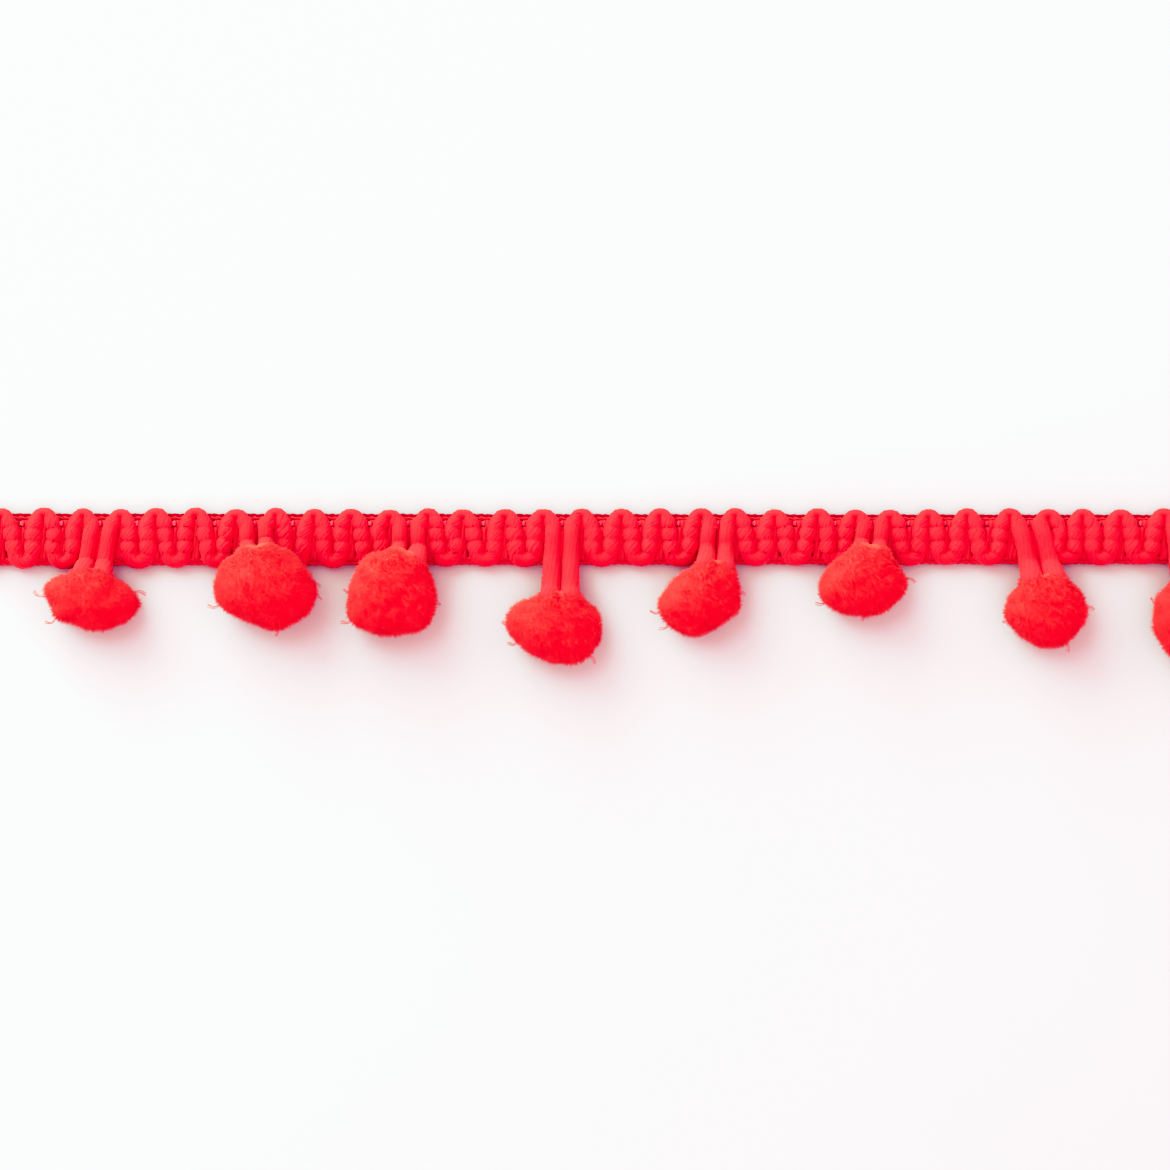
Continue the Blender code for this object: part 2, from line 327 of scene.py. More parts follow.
    # coordinates that follow the strand, in metres: round it in X and Y, along it in Z
    readSection = add("GeometryNodeInputNamedAttribute", {"Name": "section"}, data_type="FLOAT_VECTOR")
    readAlong = add("GeometryNodeInputNamedAttribute", {"Name": "along"})
    readShade = add("GeometryNodeInputNamedAttribute", {"Name": "shade"})
    apart = add("ShaderNodeMath", {0: readShade, 1: strandPattern["shadeApart"], 2: readAlong},
                operation="MULTIPLY_ADD")
    lengthwise = add("ShaderNodeCombineXYZ", {"Z": apart})
    follow = add("ShaderNodeVectorMath",
                 {0: readSection, 1: (strandPattern["across"],) * 3, 2: lengthwise},
                 operation="MULTIPLY_ADD")
    strand = add("GeometryNodeStoreNamedAttribute", {"Geometry": tube, "Name": "strand", "Value": follow},
                 data_type="FLOAT_VECTOR")
    smooth = add("GeometryNodeSetShadeSmooth", {"Geometry": strand})
    real = add("GeometryNodeRealizeInstances", {"Geometry": smooth})
    finished = add("GeometryNodeSetMaterial", {"Geometry": real, "Material": inputs["Material"]})
    tree.links.new(finished.outputs[0], out.inputs["Geometry"])
    return tree


# Geometry Nodes: short fibres that stand on a surface

tufts = {"noise": (0.35, 0.65), "length": (0.7, 1.1)}  # the pile is shorter in some clumps than in others


def pileTree():
    tree, given, out = newTree("fibre pile", (
        ("Density", "NodeSocketFloat", 6.0e7),
        ("Length", "NodeSocketFloat", 0.5 * mm),
        ("Shortest", "NodeSocketFloat", 0.4),
        ("Width", "NodeSocketFloat", 0.05 * mm),
        ("Segments", "NodeSocketInt", 1),
        ("Curl", "NodeSocketFloat", 0.0),
        ("Lean", "NodeSocketFloat", 0.5),
        ("Clump", "NodeSocketFloat", 0.6),
        ("Clump Size", "NodeSocketFloat", 0.7 * mm),
        ("Tie", "NodeSocketVector", None),
        ("Comb", "NodeSocketFloat", 0.8),
        ("Comb Reach", "NodeSocketFloat", 2.0 * mm),
        ("Seed", "NodeSocketInt", 1),
        ("Material", "NodeSocketMaterial", None),
    ))
    inputs = given.outputs
    add = partial(addNode, tree)
    points = add("GeometryNodeDistributePointsOnFaces",
                 {"Mesh": inputs["Geometry"], "Density": inputs["Density"], "Seed": inputs["Seed"]})
    stood = add("GeometryNodeStoreNamedAttribute",
                {"Geometry": points, "Name": "lie", "Value": points.outputs["Normal"]},
                data_type="FLOAT_VECTOR")
    lie = add("GeometryNodeInputNamedAttribute", {"Name": "lie"}, data_type="FLOAT_VECTOR")
    place = add("GeometryNodeInputPosition")
    # neighbours lean alike, so the pile parts in small pits
    clumpScale = add("ShaderNodeMath", {0: 1.0, 1: inputs["Clump Size"]}, operation="DIVIDE")
    clump = add("ShaderNodeTexNoise", {"Vector": place, "Scale": clumpScale, "Detail": 2.0})
    clumpVector = add("ShaderNodeVectorMath", {0: clump.outputs["Color"], 1: (-0.5, -0.5, -0.5)},
                      operation="ADD")
    clumped = add("ShaderNodeVectorMath", {0: clumpVector, "Scale": inputs["Clump"]}, operation="SCALE")
    anyWay = add("FunctionNodeRandomValue",
                 {0: (-1, -1, -1), 1: (1, 1, 1), "Seed": inputs["Seed"]}, data_type="FLOAT_VECTOR")
    leaning = add("ShaderNodeVectorMath", {0: anyWay, "Scale": inputs["Lean"]}, operation="SCALE")
    fromTie = add("ShaderNodeVectorMath", {0: place, 1: inputs["Tie"]}, operation="SUBTRACT")
    far = add("ShaderNodeVectorMath", {0: fromTie}, operation="LENGTH")
    away = add("ShaderNodeVectorMath", {0: fromTie}, operation="NORMALIZE")
    combing = add("ShaderNodeMapRange", {
        "Value": far.outputs["Value"], "From Min": 0.0, "From Max": inputs["Comb Reach"],
        "To Min": inputs["Comb"], "To Max": 0.0})
    combed = add("ShaderNodeVectorMath", {0: away, "Scale": combing}, operation="SCALE")
    first = add("ShaderNodeVectorMath", {0: points.outputs["Normal"], 1: clumped}, operation="ADD")
    second = add("ShaderNodeVectorMath", {0: first, 1: leaning}, operation="ADD")
    third = add("ShaderNodeVectorMath", {0: second, 1: combed}, operation="ADD")
    aimed = add("FunctionNodeAlignRotationToVector", {"Vector": third}, axis="Z")
    spin = add("FunctionNodeRandomValue", {2: 0.0, 3: 2 * math.pi, "Seed": inputs["Seed"]})
    spun = add("FunctionNodeAxisAngleToRotation", {"Axis": (0, 0, 1), "Angle": spin.outputs[1]})
    turned = add("FunctionNodeRotateRotation", {"Rotation": aimed, "Rotate By": spun},
                 rotation_space="LOCAL")
    # one fibre, 1 long and 1 wide: a closed three-sided spike that may curl
    fibre = add("GeometryNodeMeshCone", {
        "Vertices": 3, "Side Segments": inputs["Segments"], "Radius Bottom": 0.5, "Depth": 1.0})
    height = add("ShaderNodeSeparateXYZ", {0: place})
    bent = add("ShaderNodeMath", {0: height.outputs["Z"], 1: 2.0}, operation="POWER")
    bending = add("ShaderNodeMath", {0: bent, 1: inputs["Curl"]}, operation="MULTIPLY")
    bendVector = add("ShaderNodeCombineXYZ", {"X": bending})
    curled = add("GeometryNodeSetPosition", {"Geometry": fibre, "Offset": bendVector})
    lengthShare = add("FunctionNodeRandomValue", {2: inputs["Shortest"], 3: 1.0, "Seed": inputs["Seed"]})
    longClump = add("ShaderNodeMapRange", {
        "Value": clump, "From Min": tufts["noise"][0], "From Max": tufts["noise"][1],
        "To Min": tufts["length"][0], "To Max": tufts["length"][1]})
    lengths = add("ShaderNodeMath", {0: lengthShare.outputs[1], 1: longClump}, operation="MULTIPLY")
    length = add("ShaderNodeMath", {0: lengths, 1: inputs["Length"]}, operation="MULTIPLY")
    size = add("ShaderNodeCombineXYZ", {"X": inputs["Width"], "Y": inputs["Width"], "Z": length})
    grown = add("GeometryNodeInstanceOnPoints",
                {"Points": stood, "Instance": curled, "Rotation": turned, "Scale": size})
    tone = add("FunctionNodeRandomValue", {2: 0.0, 3: 1.0, "Seed": inputs["Seed"]})
    toned = add("GeometryNodeStoreNamedAttribute",
                {"Geometry": grown, "Name": "shade", "Value": tone.outputs[1]}, domain="INSTANCE")
    facing = add("GeometryNodeStoreNamedAttribute", {"Geometry": toned, "Name": "facing", "Value": lie},
                 data_type="FLOAT_VECTOR", domain="INSTANCE")
    real = add("GeometryNodeRealizeInstances", {"Geometry": facing})
    finished = add("GeometryNodeSetMaterial", {"Geometry": real, "Material": inputs["Material"]})
    tree.links.new(finished.outputs[0], out.inputs["Geometry"])
    return tree


yarnOfStrands = strandTree()
fibrePile = pileTree()
print("geometry trees built")


# the braid

trim = {"loops": 34, "pitch": 3.5 * mm, "firstStem": 3, "stemEvery": 4}

laidYarn = {
    "girth": 0.82 * mm,  # half its thickness
    "centreZ": 1.03 * mm,
    "step": 0.10 * mm,
    "arcSteps": 24,
    "picotCentreY": 1.28 * mm,
    "picotRise": 1.18 * mm,
    "picotHalf": 1.02,  # half the width of a picot, as a share of a quarter of the pitch
    "picotNarrow": 0.40,  # how much the picot closes towards its top
    "picotShoulder": 0.35,  # less than 1 keeps it wide up to its shoulders
    "picotGirth": 0.54,  # share of the girth at the top of a picot
    "picotSink": 0.10 * mm,
    "picotTilt": 0.06 * mm,
    "turnCentreY": -1.00 * mm,
    "turnDrop": 0.64 * mm,
    "turnHalf": 0.97,  # as picotHalf
    "turnGirth": 0.90,
    "turnSink": 0.28 * mm,
    "turnTilt": 0.23 * mm,  # the lower edge lies this much lower at the left end, and higher at the right
    "narrowing": 0.6,  # how early an arc closes
    "thinning": 1.3,  # and how early it thins
    "pinch": 0.25,
    "pinchWidth": 0.20 * mm,
    "pinchDepth": (0.6, 1.35),  # from the loosest crossing to the tightest
    "sway": 0.12 * mm,  # how far the crossings lie off their rows
    "bow": 0.10 * mm,  # how far an arm bends off its line
    "stemCut": 0.25 * mm,  # the yarn stops this far below the upper row where a stem leaves
    # picots that were laid well off their places, by number from the left
    "slips": {1: -0.40, 5: -0.35, 6: -0.30, 13: -0.35, 19: 0.35,
              22: 0.40, 23: 0.45, 27: 0.45, 28: 0.40, 31: 0.40},
    "shiftX": 0.08 * mm,  # how unevenly the loops were laid
    "shiftY": 0.09 * mm,
    "shiftHalf": 0.08,
    "turnShiftY": 0.05 * mm,
    "turnShiftHalf": 0.06,
    "shiftGirth": 0.06,
    "seed": 11,
}
chainRows = (1.23 * mm, 0.05 * mm, -1.08 * mm)  # where rows of chain stitches cross the yarn


def gapX(index):
    return (index - trim["loops"] / 2) * trim["pitch"]


def isStem(index):
    return index % trim["stemEvery"] == trim["firstStem"]


def pinched(y, girth, depth=1.0, sway=0.0):
    # the chain threads draw the yarn in where they cross it
    drawn = sum(math.exp(-((y - sway - row) / laidYarn["pinchWidth"]) ** 2) for row in chainRows)
    return girth * (1 - laidYarn["pinch"] * depth * drawn)


def looseLoops():
    # for each picot and each turn, where it was really laid
    rng = random.Random(laidYarn["seed"])
    quarter = trim["pitch"] / 4
    picots, turns = [], []

    def shift(key):
        return rng.uniform(-laidYarn[key], laidYarn[key])

    for index in range(trim["loops"] + 1):
        along = gapX(index) / gapX(0)
        slip, nextSlip = (laidYarn["slips"].get(index + k, 0.0) * mm for k in (0, 1))
        picots.append({
            "x": gapX(index) + slip + shift("shiftX"),
            "rise": laidYarn["picotRise"] + laidYarn["picotTilt"] * along + shift("shiftY"),
            "half": quarter * (laidYarn["picotHalf"] + shift("shiftHalf"))})
        turns.append({
            "x": gapX(index + 0.5) + (slip + nextSlip) / 2 + shift("shiftX"),
            "drop": laidYarn["turnDrop"] + laidYarn["turnTilt"] * along + shift("turnShiftY"),
            "half": quarter * (laidYarn["turnHalf"] + shift("turnShiftHalf"))})
    return picots, turns


picots, turns = looseLoops()


def armX(index, side, share):
    # on an arm of turn `index`, this share of the way down from its picot; side says which arm
    top, bottom = picots[index] if side < 0 else picots[index + 1], turns[index]
    xTop = top["x"] - side * top["half"]
    xBottom = bottom["x"] + side * bottom["half"]
    return xTop + (xBottom - xTop) * (share * share * (3 - 2 * share))


def armRun(index, side, girth, rng):
    # down one arm, from beside its picot to beside its turn
    yTop, yBottom = laidYarn["picotCentreY"], laidYarn["turnCentreY"]
    count = round((yTop - yBottom) / laidYarn["step"])
    depth = rng.uniform(*laidYarn["pinchDepth"])
    sway, bow = (rng.uniform(-laidYarn[key], laidYarn[key]) for key in ("sway", "bow"))
    run = []
    for k in range(count + 1):
        f = k / count
        y = yTop + (yBottom - yTop) * f
        x = armX(index, side, f) + bow * math.sin(2 * math.pi * f)
        run.append((Vector((x, y, laidYarn["centreZ"])), pinched(y, girth, depth, sway)))
    return run


def arcRun(centre, halfX, reachY, girth, endGirth, sink, narrow=0.0):
    # half an egg from -X to +X, over the top for reachY > 0
    count = laidYarn["arcSteps"]
    run = []
    for k in range(count + 1):
        a = math.pi * k / count
        rise = math.sin(a)
        across = math.cos(a)
        if narrow:
            across = math.copysign(abs(across) ** laidYarn["picotShoulder"], across)
        x = centre[0] + halfX * across * (1 - narrow * rise ** laidYarn["narrowing"])
        place = Vector((x, centre[1] + reachY * rise, laidYarn["centreZ"] - sink * rise))
        thinned = 1 + (endGirth - 1) * rise ** laidYarn["thinning"]
        run.append((place, pinched(place.y, girth) * thinned))
    return run[::-1]


def braidRuns():
    # the yarn from one cut end to the other, let down to the pompoms at the stems
    rng = random.Random(laidYarn["seed"] + 1)
    cutY = chainRows[0] - laidYarn["stemCut"]
    runs = [[]]
    for index in range(trim["loops"]):
        girth = laidYarn["girth"] * (1 + rng.uniform(-1, 1) * laidYarn["shiftGirth"])
        turn, right = turns[index], picots[index + 1]
        down = armRun(index, -1, girth, rng)
        up = armRun(index, 1, girth, rng)[::-1]
        if isStem(index):
            runs[-1] += [p for p in down if p[0].y > cutY]
            runs.append([p for p in up if p[0].y > cutY])
        else:
            around = arcRun((turn["x"], laidYarn["turnCentreY"]), turn["half"], -turn["drop"], girth,
                            laidYarn["turnGirth"], laidYarn["turnSink"])
            runs[-1] += down[:-1] + around[:-1] + up
        if index < trim["loops"] - 1:
            over = arcRun((right["x"], laidYarn["picotCentreY"]), right["half"], right["rise"], girth,
                          laidYarn["picotGirth"], laidYarn["picotSink"], laidYarn["picotNarrow"])
            runs[-1] += over[1:-1]
    return runs


def layYarn(name, runs, values):
    # strands along the runs, as a plain mesh
    path = curveObject(name + "Path", runs)
    mesh = runTree(path, yarnOfStrands, values)
    bpy.data.objects.remove(path)
    return mesh


def growFibres(name, surface, values):
    # fibres that stand on a mesh, as a plain mesh
    base = newObject(name + "Base", surface)
    mesh = runTree(base, fibrePile, values)
    bpy.data.objects.remove(base)
    return mesh


yarnMesh = layYarn("yarn", braidRuns(), {
    "Ring Spacing": 0.25 * mm, "Strands": 11, "Strand Offset": 0.70, "Strand Girth": 0.33,
    "Turns Per Metre": 260.0, "Flatness": 0.85, "Wander": 0.16, "Softness": 0.35, "Seed": 3,
    "Material": braidFibre})
print("laid yarn:", triangles(yarnMesh), "triangles")

thread = {
    "girth": 0.07 * mm,
    "step": 0.15 * mm,
    "crestZ": 1.56 * mm,
    "dipZ": 0.72 * mm,
    "stemZ": 0.55 * mm,
    "zigzag": 0.05 * mm,
    # what runs straight from end to end behind the yarn: an edge cord, softer cords above the holes
    # and behind the turns, and the back of each chain row
    "edge": {"ys": (2.27 * mm,), "zs": (0.50 * mm,), "girth": 0.17 * mm, "wave": 0.03 * mm},
    "inner": {"ys": (1.98 * mm, -1.66 * mm, -1.98 * mm), "zs": (0.50 * mm, 0.80 * mm, 0.62 * mm),
              "girth": 0.25 * mm, "wave": 0.03 * mm},
    "back": {"ys": chainRows, "zs": (0.19 * mm,) * 3, "girth": 0.16 * mm, "wave": 0.04 * mm},
    "slope": 0.10 * mm,
    "upperSlope": -0.5,  # share of the slope above the middle
    "pointsPerLoop": 4,
    "tuck": 0.35 * mm,  # how far inside the cut ends of the yarn they stop
}


def chainRuns():
    runs = []
    endX = -gapX(0)
    yTop, yBottom = laidYarn["picotCentreY"], laidYarn["turnCentreY"]
    for number, y in enumerate(chainRows):
        knots = [(Vector((-endX, y, thread["dipZ"])), thread["girth"])]
        share = clamp((yTop - y) / (yTop - yBottom))
        for index in range(trim["loops"]):
            over = number == 0 or not isStem(index)
            crest, dip = (thread[key] if over else thread["stemZ"] for key in ("crestZ", "dipZ"))
            lift = thread["zigzag"] * (1 if index % 2 else -1)
            places = ((armX(index, -1, share), lift, crest),
                      (turns[index]["x"], -lift, dip),
                      (armX(index, 1, share), lift, crest),
                      (min(gapX(index + 1), endX), -lift, thread["dipZ"]))
            knots += [(Vector((x, y + up, z)), thread["girth"]) for x, up, z in places]
        runs.append(smoothRun(knots, thread["step"]))
    return runs


def straightRuns(cord):
    # threads that run behind the yarn from end to end
    runs = []
    endX = -gapX(0) - thread["tuck"]
    count = thread["pointsPerLoop"] * trim["loops"]
    for number, (y, z) in enumerate(zip(cord["ys"], cord["zs"])):
        run = []
        for k in range(count + 1):
            x = -endX + 2 * endX * k / count
            bow = cord["wave"] * math.sin(2 * math.pi * k / thread["pointsPerLoop"] + number)
            slope = thread["slope"] * x / endX * (1 if y < 0 else thread["upperSlope"])
            run.append((Vector((x, y + bow + slope, z - bow / 2)), cord["girth"]))
        runs.append(run)
    return runs


chainMesh = layYarn("chain", chainRuns(), {
    "Ring Spacing": 0.22 * mm, "Strands": 2, "Strand Offset": 0.5, "Strand Girth": 0.55, "Sides": 4,
    "Turns Per Metre": 1100.0, "Seed": 4, "Material": threadFibrePaintedShade})
edgeMesh = layYarn("edge", straightRuns(thread["edge"]), {
    "Ring Spacing": 0.40 * mm, "Strands": 2, "Strand Offset": 0.45, "Strand Girth": 0.62,
    "Turns Per Metre": 700.0, "Seed": 5, "Material": threadFibrePaintedShade})
innerMesh = layYarn("inner", straightRuns(thread["inner"]), {
    "Ring Spacing": 0.40 * mm, "Strands": 3, "Strand Offset": 0.55, "Strand Girth": 0.52,
    "Turns Per Metre": 500.0, "Seed": 7, "Material": fillerFibrePaintedShade})
backMesh = layYarn("back", straightRuns(thread["back"]), {
    "Ring Spacing": 0.60 * mm, "Strands": 1, "Strand Offset": 0.0, "Strand Girth": 1.0,
    "Turns Per Metre": 0.0, "Seed": 5, "Material": threadFibrePaintedShade})
print("threads:", triangles(chainMesh), triangles(edgeMesh), triangles(backMesh), "triangles")

# floats of filler yarn behind the gaps: under a picot it reaches up inside, beside it the hole stays open
filler = {
    "girth": 0.48 * mm,
    "z": 0.80 * mm,
    "knots": 5,
    # from the top to the bottom of each float
    "underPicot": (1.95 * mm, -1.75 * mm),
    "underHole": (1.22 * mm, -1.35 * mm),
    "besideHole": (1.85 * mm, 1.0 * mm),
    "besideStem": (1.2 * mm, -1.7 * mm),
    "holeX": -0.18 * mm,
    "holeSide": 0.63 * mm,
    "stemSide": 0.85 * mm,
    "stemFloats": (-1.6, -0.8, 0.8, 1.6),
}


def fillerRuns():
    runs = []
    for index in range(trim["loops"]):
        turnX = turns[index]["x"]
        holeX = turnX + filler["holeX"]
        places = [(turnX, filler["underHole"])]
        places += [(holeX + side * filler["holeSide"], filler["besideHole"]) for side in (-1, 1)]
        if isStem(index):
            places += [(turnX + side * filler["stemSide"], filler["besideStem"])
                       for side in filler["stemFloats"]]
        if index:
            places.append((picots[index]["x"], filler["underPicot"]))
        for x, (top, bottom) in places:
            ys = np.linspace(bottom, top, filler["knots"])
            runs.append([(Vector((x, y, filler["z"])), filler["girth"]) for y in ys])
    return runs


fillerMesh = layYarn("filler", fillerRuns(), {
    "Ring Spacing": 0.40 * mm, "Strands": 5, "Strand Offset": 0.6, "Strand Girth": 0.45, "Sides": 4,
    "Turns Per Metre": 60.0, "Flatness": 0.8, "Wander": 0.1, "Seed": 6, "Material": fillerFibrePaintedShade})
print("filler:", triangles(fillerMesh), "triangles")

# painted light in the holes: short pale threads whose colour stands in for the bright floor seen through
# each hole; they stand higher, and so show brighter, towards the left end
glints = {
    "girth": 0.19 * mm,
    "lowZ": 0.60 * mm,
    "highZ": 1.15 * mm,
    "share": 0.5,  # how far up from low to high they stand at the middle
    "tilt": 0.4,  # so much more at the left end
    "shift": 0.3,
    "topY": 1.76 * mm,
    "bottomY": 1.36 * mm,
    "bends": (0, 0.06 * mm, 0.05 * mm, -0.02 * mm),  # sideways, from the bottom to the top
    "seed": 5,
}


def glintRuns():
    rng = random.Random(glints["seed"])
    ys = np.linspace(glints["bottomY"], glints["topY"], len(glints["bends"]))
    runs = []
    for index in range(trim["loops"]):
        share = glints["share"] + glints["tilt"] * gapX(index) / gapX(0)
        share += rng.uniform(-glints["shift"], glints["shift"])
        z = glints["lowZ"] + (glints["highZ"] - glints["lowZ"]) * clamp(share)
        x = turns[index]["x"] + filler["holeX"]
        runs.append([(Vector((x + bend, y, z)), glints["girth"]) for y, bend in zip(ys, glints["bends"])])
    return runs


glintMesh = layYarn("glint", glintRuns(), {
    "Ring Spacing": 0.10 * mm, "Strands": 4, "Strand Offset": 0.6, "Strand Girth": 0.5, "Sides": 4,
    "Turns Per Metre": 500.0, "Flatness": 0.6, "Wander": 0.2, "Seed": 9, "Material": paintedGlintFibre})

# a little fuzz on the laid yarn
fuzzMesh = growFibres("fuzz", yarnMesh, {
    "Density": 2.3e6, "Length": 0.24 * mm, "Width": 0.035 * mm, "Lean": 0.9, "Comb": 0.0, "Seed": 8,
    "Material": braidFibre})
print("fuzz:", triangles(fuzzMesh), "triangles")
braid = joinMeshes("braidYarn", [yarnMesh, fillerMesh])
threads = joinMeshes("braidThreads", [chainMesh, edgeMesh, innerMesh, backMesh, glintMesh, fuzzMesh])
liftClear(braid)
liftClear(threads)


# the pompoms

# in millimetres; outline: seen from above, anticlockwise from its right-hand side;
# wisps: the tips of a few long fibres that were missed by the shears
usualBall = {"stout": 1.0, "fullness": 2.1}
pompoms = (
    dict(usualBall, x=-48.1, y=-5.50, height=5.8, neck=-47.9, outline=(
        (-43.65, -5.6), (-44.6, -4.3), (-46.0, -3.35), (-48.0, -2.6), (-50.0, -2.95), (-51.5, -3.5),
        (-52.5, -4.4), (-51.75, -5.6), (-51.3, -6.95), (-49.8, -7.45), (-47.6, -8.1), (-45.8, -7.75),
        (-44.2, -6.9)), wisps=((-53.3, -4.6), (-43.1, -4.9), (-52.3, -7.4))),
    dict(usualBall, x=-32.4, y=-4.35, height=6.9, neck=-33.1, outline=(
        (-27.4, -5.1), (-28.1, -3.3), (-29.2, -1.7), (-31.0, -0.5), (-33.2, -0.35), (-35.1, -1.2),
        (-36.35, -2.6), (-36.85, -4.3), (-36.55, -5.7), (-34.9, -6.8), (-33.2, -7.5), (-31.2, -8.1),
        (-29.6, -7.5), (-28.2, -6.4)), wisps=((-27.2, -4.2), (-27.1, -5.4), (-31.3, -8.7), (-37.5, -5.9))),
    dict(usualBall, x=-20.8, y=-4.80, height=6.6, neck=-19.3, fullness=2.3, outline=(
        (-16.8, -5.2), (-17.2, -3.2), (-18.2, -1.7), (-19.8, -0.8), (-21.8, -0.95), (-23.3, -1.7),
        (-24.2, -3.2), (-24.7, -5.2), (-24.75, -7.1), (-23.9, -7.8), (-22.5, -8.35), (-19.6, -8.45),
        (-17.6, -7.95), (-17.0, -6.9)), wisps=((-25.4, -7.4), (-25.2, -4.4), (-16.4, -5.9))),
    dict(usualBall, x=-6.2, y=-8.05, height=6.2, neck=-5.5, stout=1.04, outline=(
        (-1.75, -8.2), (-2.0, -6.7), (-3.3, -5.4), (-5.0, -4.75), (-7.0, -4.85), (-8.9, -5.55),
        (-10.0, -6.4), (-10.5, -7.3), (-10.0, -8.5), (-9.0, -9.7), (-7.6, -10.5), (-5.2, -11.15),
        (-3.3, -10.9), (-2.1, -9.7)), wisps=((-10.3, -9.3), (-10.8, -7.3), (-2.4, -11.2))),
    dict(usualBall, x=7.2, y=-5.45, height=6.0, neck=8.6, outline=(
        (10.8, -5.4), (10.6, -3.75), (10.0, -2.6), (8.6, -1.9), (6.6, -2.3), (5.15, -3.3), (3.95, -4.6),
        (3.3, -5.8), (3.8, -7.0), (4.9, -8.1), (6.5, -8.7), (8.4, -8.0), (9.8, -7.1),
        (10.8, -6.2)), wisps=((2.6, -6.4), (11.3, -4.9), (3.4, -8.0))),
    dict(usualBall, x=22.1, y=-3.80, height=6.2, neck=22.7, outline=(
        (26.05, -3.9), (25.35, -2.6), (24.4, -1.2), (23.2, -0.4), (21.5, -0.5), (19.75, -1.6),
        (18.4, -3.0), (17.85, -4.4), (18.2, -5.5), (19.6, -6.4), (21.5, -6.85), (23.3, -6.7),
        (24.6, -5.9), (25.6, -4.9)), wisps=((17.6, -5.7), (26.7, -3.8), (21.8, -7.3))),
    dict(usualBall, x=38.6, y=-6.60, height=6.3, neck=38.25, stout=1.16, outline=(
        (42.3, -6.2), (41.65, -4.85), (40.8, -3.75), (39.4, -3.2), (37.4, -3.3), (35.85, -4.2),
        (34.95, -5.5), (34.7, -6.8), (35.5, -7.9), (36.8, -9.1), (38.3, -9.75), (40.0, -9.6),
        (41.2, -8.5), (42.0, -7.3)), wisps=((34.6, -7.3), (42.9, -6.3), (40.5, -10.1))),
    dict(usualBall, x=52.4, y=-6.90, height=6.4, neck=51.6, outline=(
        (56.3, -6.8), (55.7, -5.0), (54.3, -3.8), (52.4, -3.3), (50.5, -3.6), (49.0, -4.5), (48.3, -5.6),
        (48.25, -7.0), (48.6, -9.0), (49.8, -10.5), (51.8, -11.0), (53.9, -10.6), (55.5, -9.4),
        (56.2, -7.9)), wisps=((48.0, -5.2), (56.7, -6.2), (53.0, -11.0))),
)
ball = {
    "subdivisions": 5,
    "underPile": 0.25 * mm,
    "restFlat": 0.12 * mm,
    "clearZ": 2.05 * mm,  # its underside stays this high over the braid
    "clearGap": 0.03 * mm,
    "rampLength": 1.7 * mm,
    "rampTopY": -2.45 * mm,
    "lumpSize": 1.6 * mm,
    "lump": 0.05,
    "pitSize": 0.55 * mm,
    "pit": 0.06 * mm,
    "noiseReach": 50,  # each ball's lumps are cut from another place of the noise
    "outlineSteps": 120,
    "legsFrom": 0.3,  # only the side that is turned to the braid runs up round the legs
    "tieAbove": 0.8 * mm,  # the pile is combed away from the tie, this far above the rim
    "legTieAbove": 6 * mm,  # and on the legs from so much further
    "seed": 7,
}
stem = {
    "rootOffset": 0.83 * mm,
    "neckOffset": 0.82 * mm,
    "girth": 0.71 * mm,
    "neckGirth": 0.88 * mm,
    "flare": 1.20 * mm,
    "lean": 0.7,  # less than 1 leans over sooner
    "leanFromY": 1.2 * mm,
    "gather": 4 * mm,  # how far inside the rim a leg would meet the middle of the pompom
    "splay": 0.15,
    # knots over the braid: y, height and share of the girth
    "root": ((2.00 * mm, 0.98 * mm, 0.60), (1.60 * mm, 1.08 * mm, 0.95), (1.10 * mm, 1.20 * mm, 1.0)),
    "laid": (0.50 * mm, 1.32 * mm),  # y and height, as in what follows
    # two more knots where the rim lies below these
    "nextLaid": (-0.60 * mm, 1.32 * mm),
    "nextBelow": -1.0 * mm,
    "lastLaid": (-2.00 * mm, 1.44 * mm),
    "lastBelow": -2.7 * mm,
    "neck": (0.45 * mm, 2.20 * mm),  # above the rim, and its height
    "tuckedNeck": (0.3 * mm, 1.50 * mm),  # where the pompom reaches up over the braid
    "tuckedAbove": -1.1 * mm,
    # at each step inside the rim: how many girths under the surface the leg's middle lies
    "tucked": ((0.7 * mm, 2.2), (1.6 * mm, 2.8)),
    "spread": ((0.4 * mm, 0.95), (1.3 * mm, 1.40), (2.4 * mm, 1.9)),
    "spreadGirths": (1.05, 1.2),  # shares of the neck's, before the flare
    "blend": 0.8 * mm,  # how softly the pile runs up round the legs
    "swell": 0.40 * mm,
    "swellStep": 0.04 * mm,
    "inLeg": 0.8,  # the pile starts inside the leg's outer strands
    "step": 0.15 * mm,
}
# what closes the gap between the two legs below the braid
web = {"girth": 0.35 * mm, "drop": 0.35, "rimGap": 0.4 * mm, "topY": 0.9 * mm, "fromRim": -2.2 * mm}
wisp = {"drop": 0.3 * mm, "from": 0.70, "bow": 0.25, "girths": (0.05 * mm, 0.055 * mm, 0.065 * mm),
        "middle": 0.6, "step": 0.2 * mm}


def floorUnder(y):
    return ball["clearZ"] * clamp((y - ball["rampTopY"] + ball["rampLength"]) / ball["rampLength"])


def reachRound(size):
    # how far the outline lies from the centre, at even steps of the angle
    places = np.array(size["outline"]) - (size["x"], size["y"])
    angles = np.arctan2(places[:, 1], places[:, 0])
    steps = np.linspace(-math.pi, math.pi, ball["outlineSteps"], endpoint=False)
    reach = np.interp(steps, *zip(*sorted(zip(angles, np.hypot(*places.T)))), period=2 * math.pi)
    soft = sum(np.roll(reach, k) for k in range(-2, 3)) / 5
    return soft * mm


def reachTowards(reaches, x, y):
    step = (math.atan2(y, x) + math.pi) / (2 * math.pi) * len(reaches)
    return np.interp(step, range(len(reaches) + 1), [*reaches, reaches[0]])


def rimAt(size, x):
    # the upper rim of the outline above x
    upper = sorted(place for place in size["outline"] if place[1] > size["y"])
    return float(np.interp(x / mm, *zip(*upper))) * mm


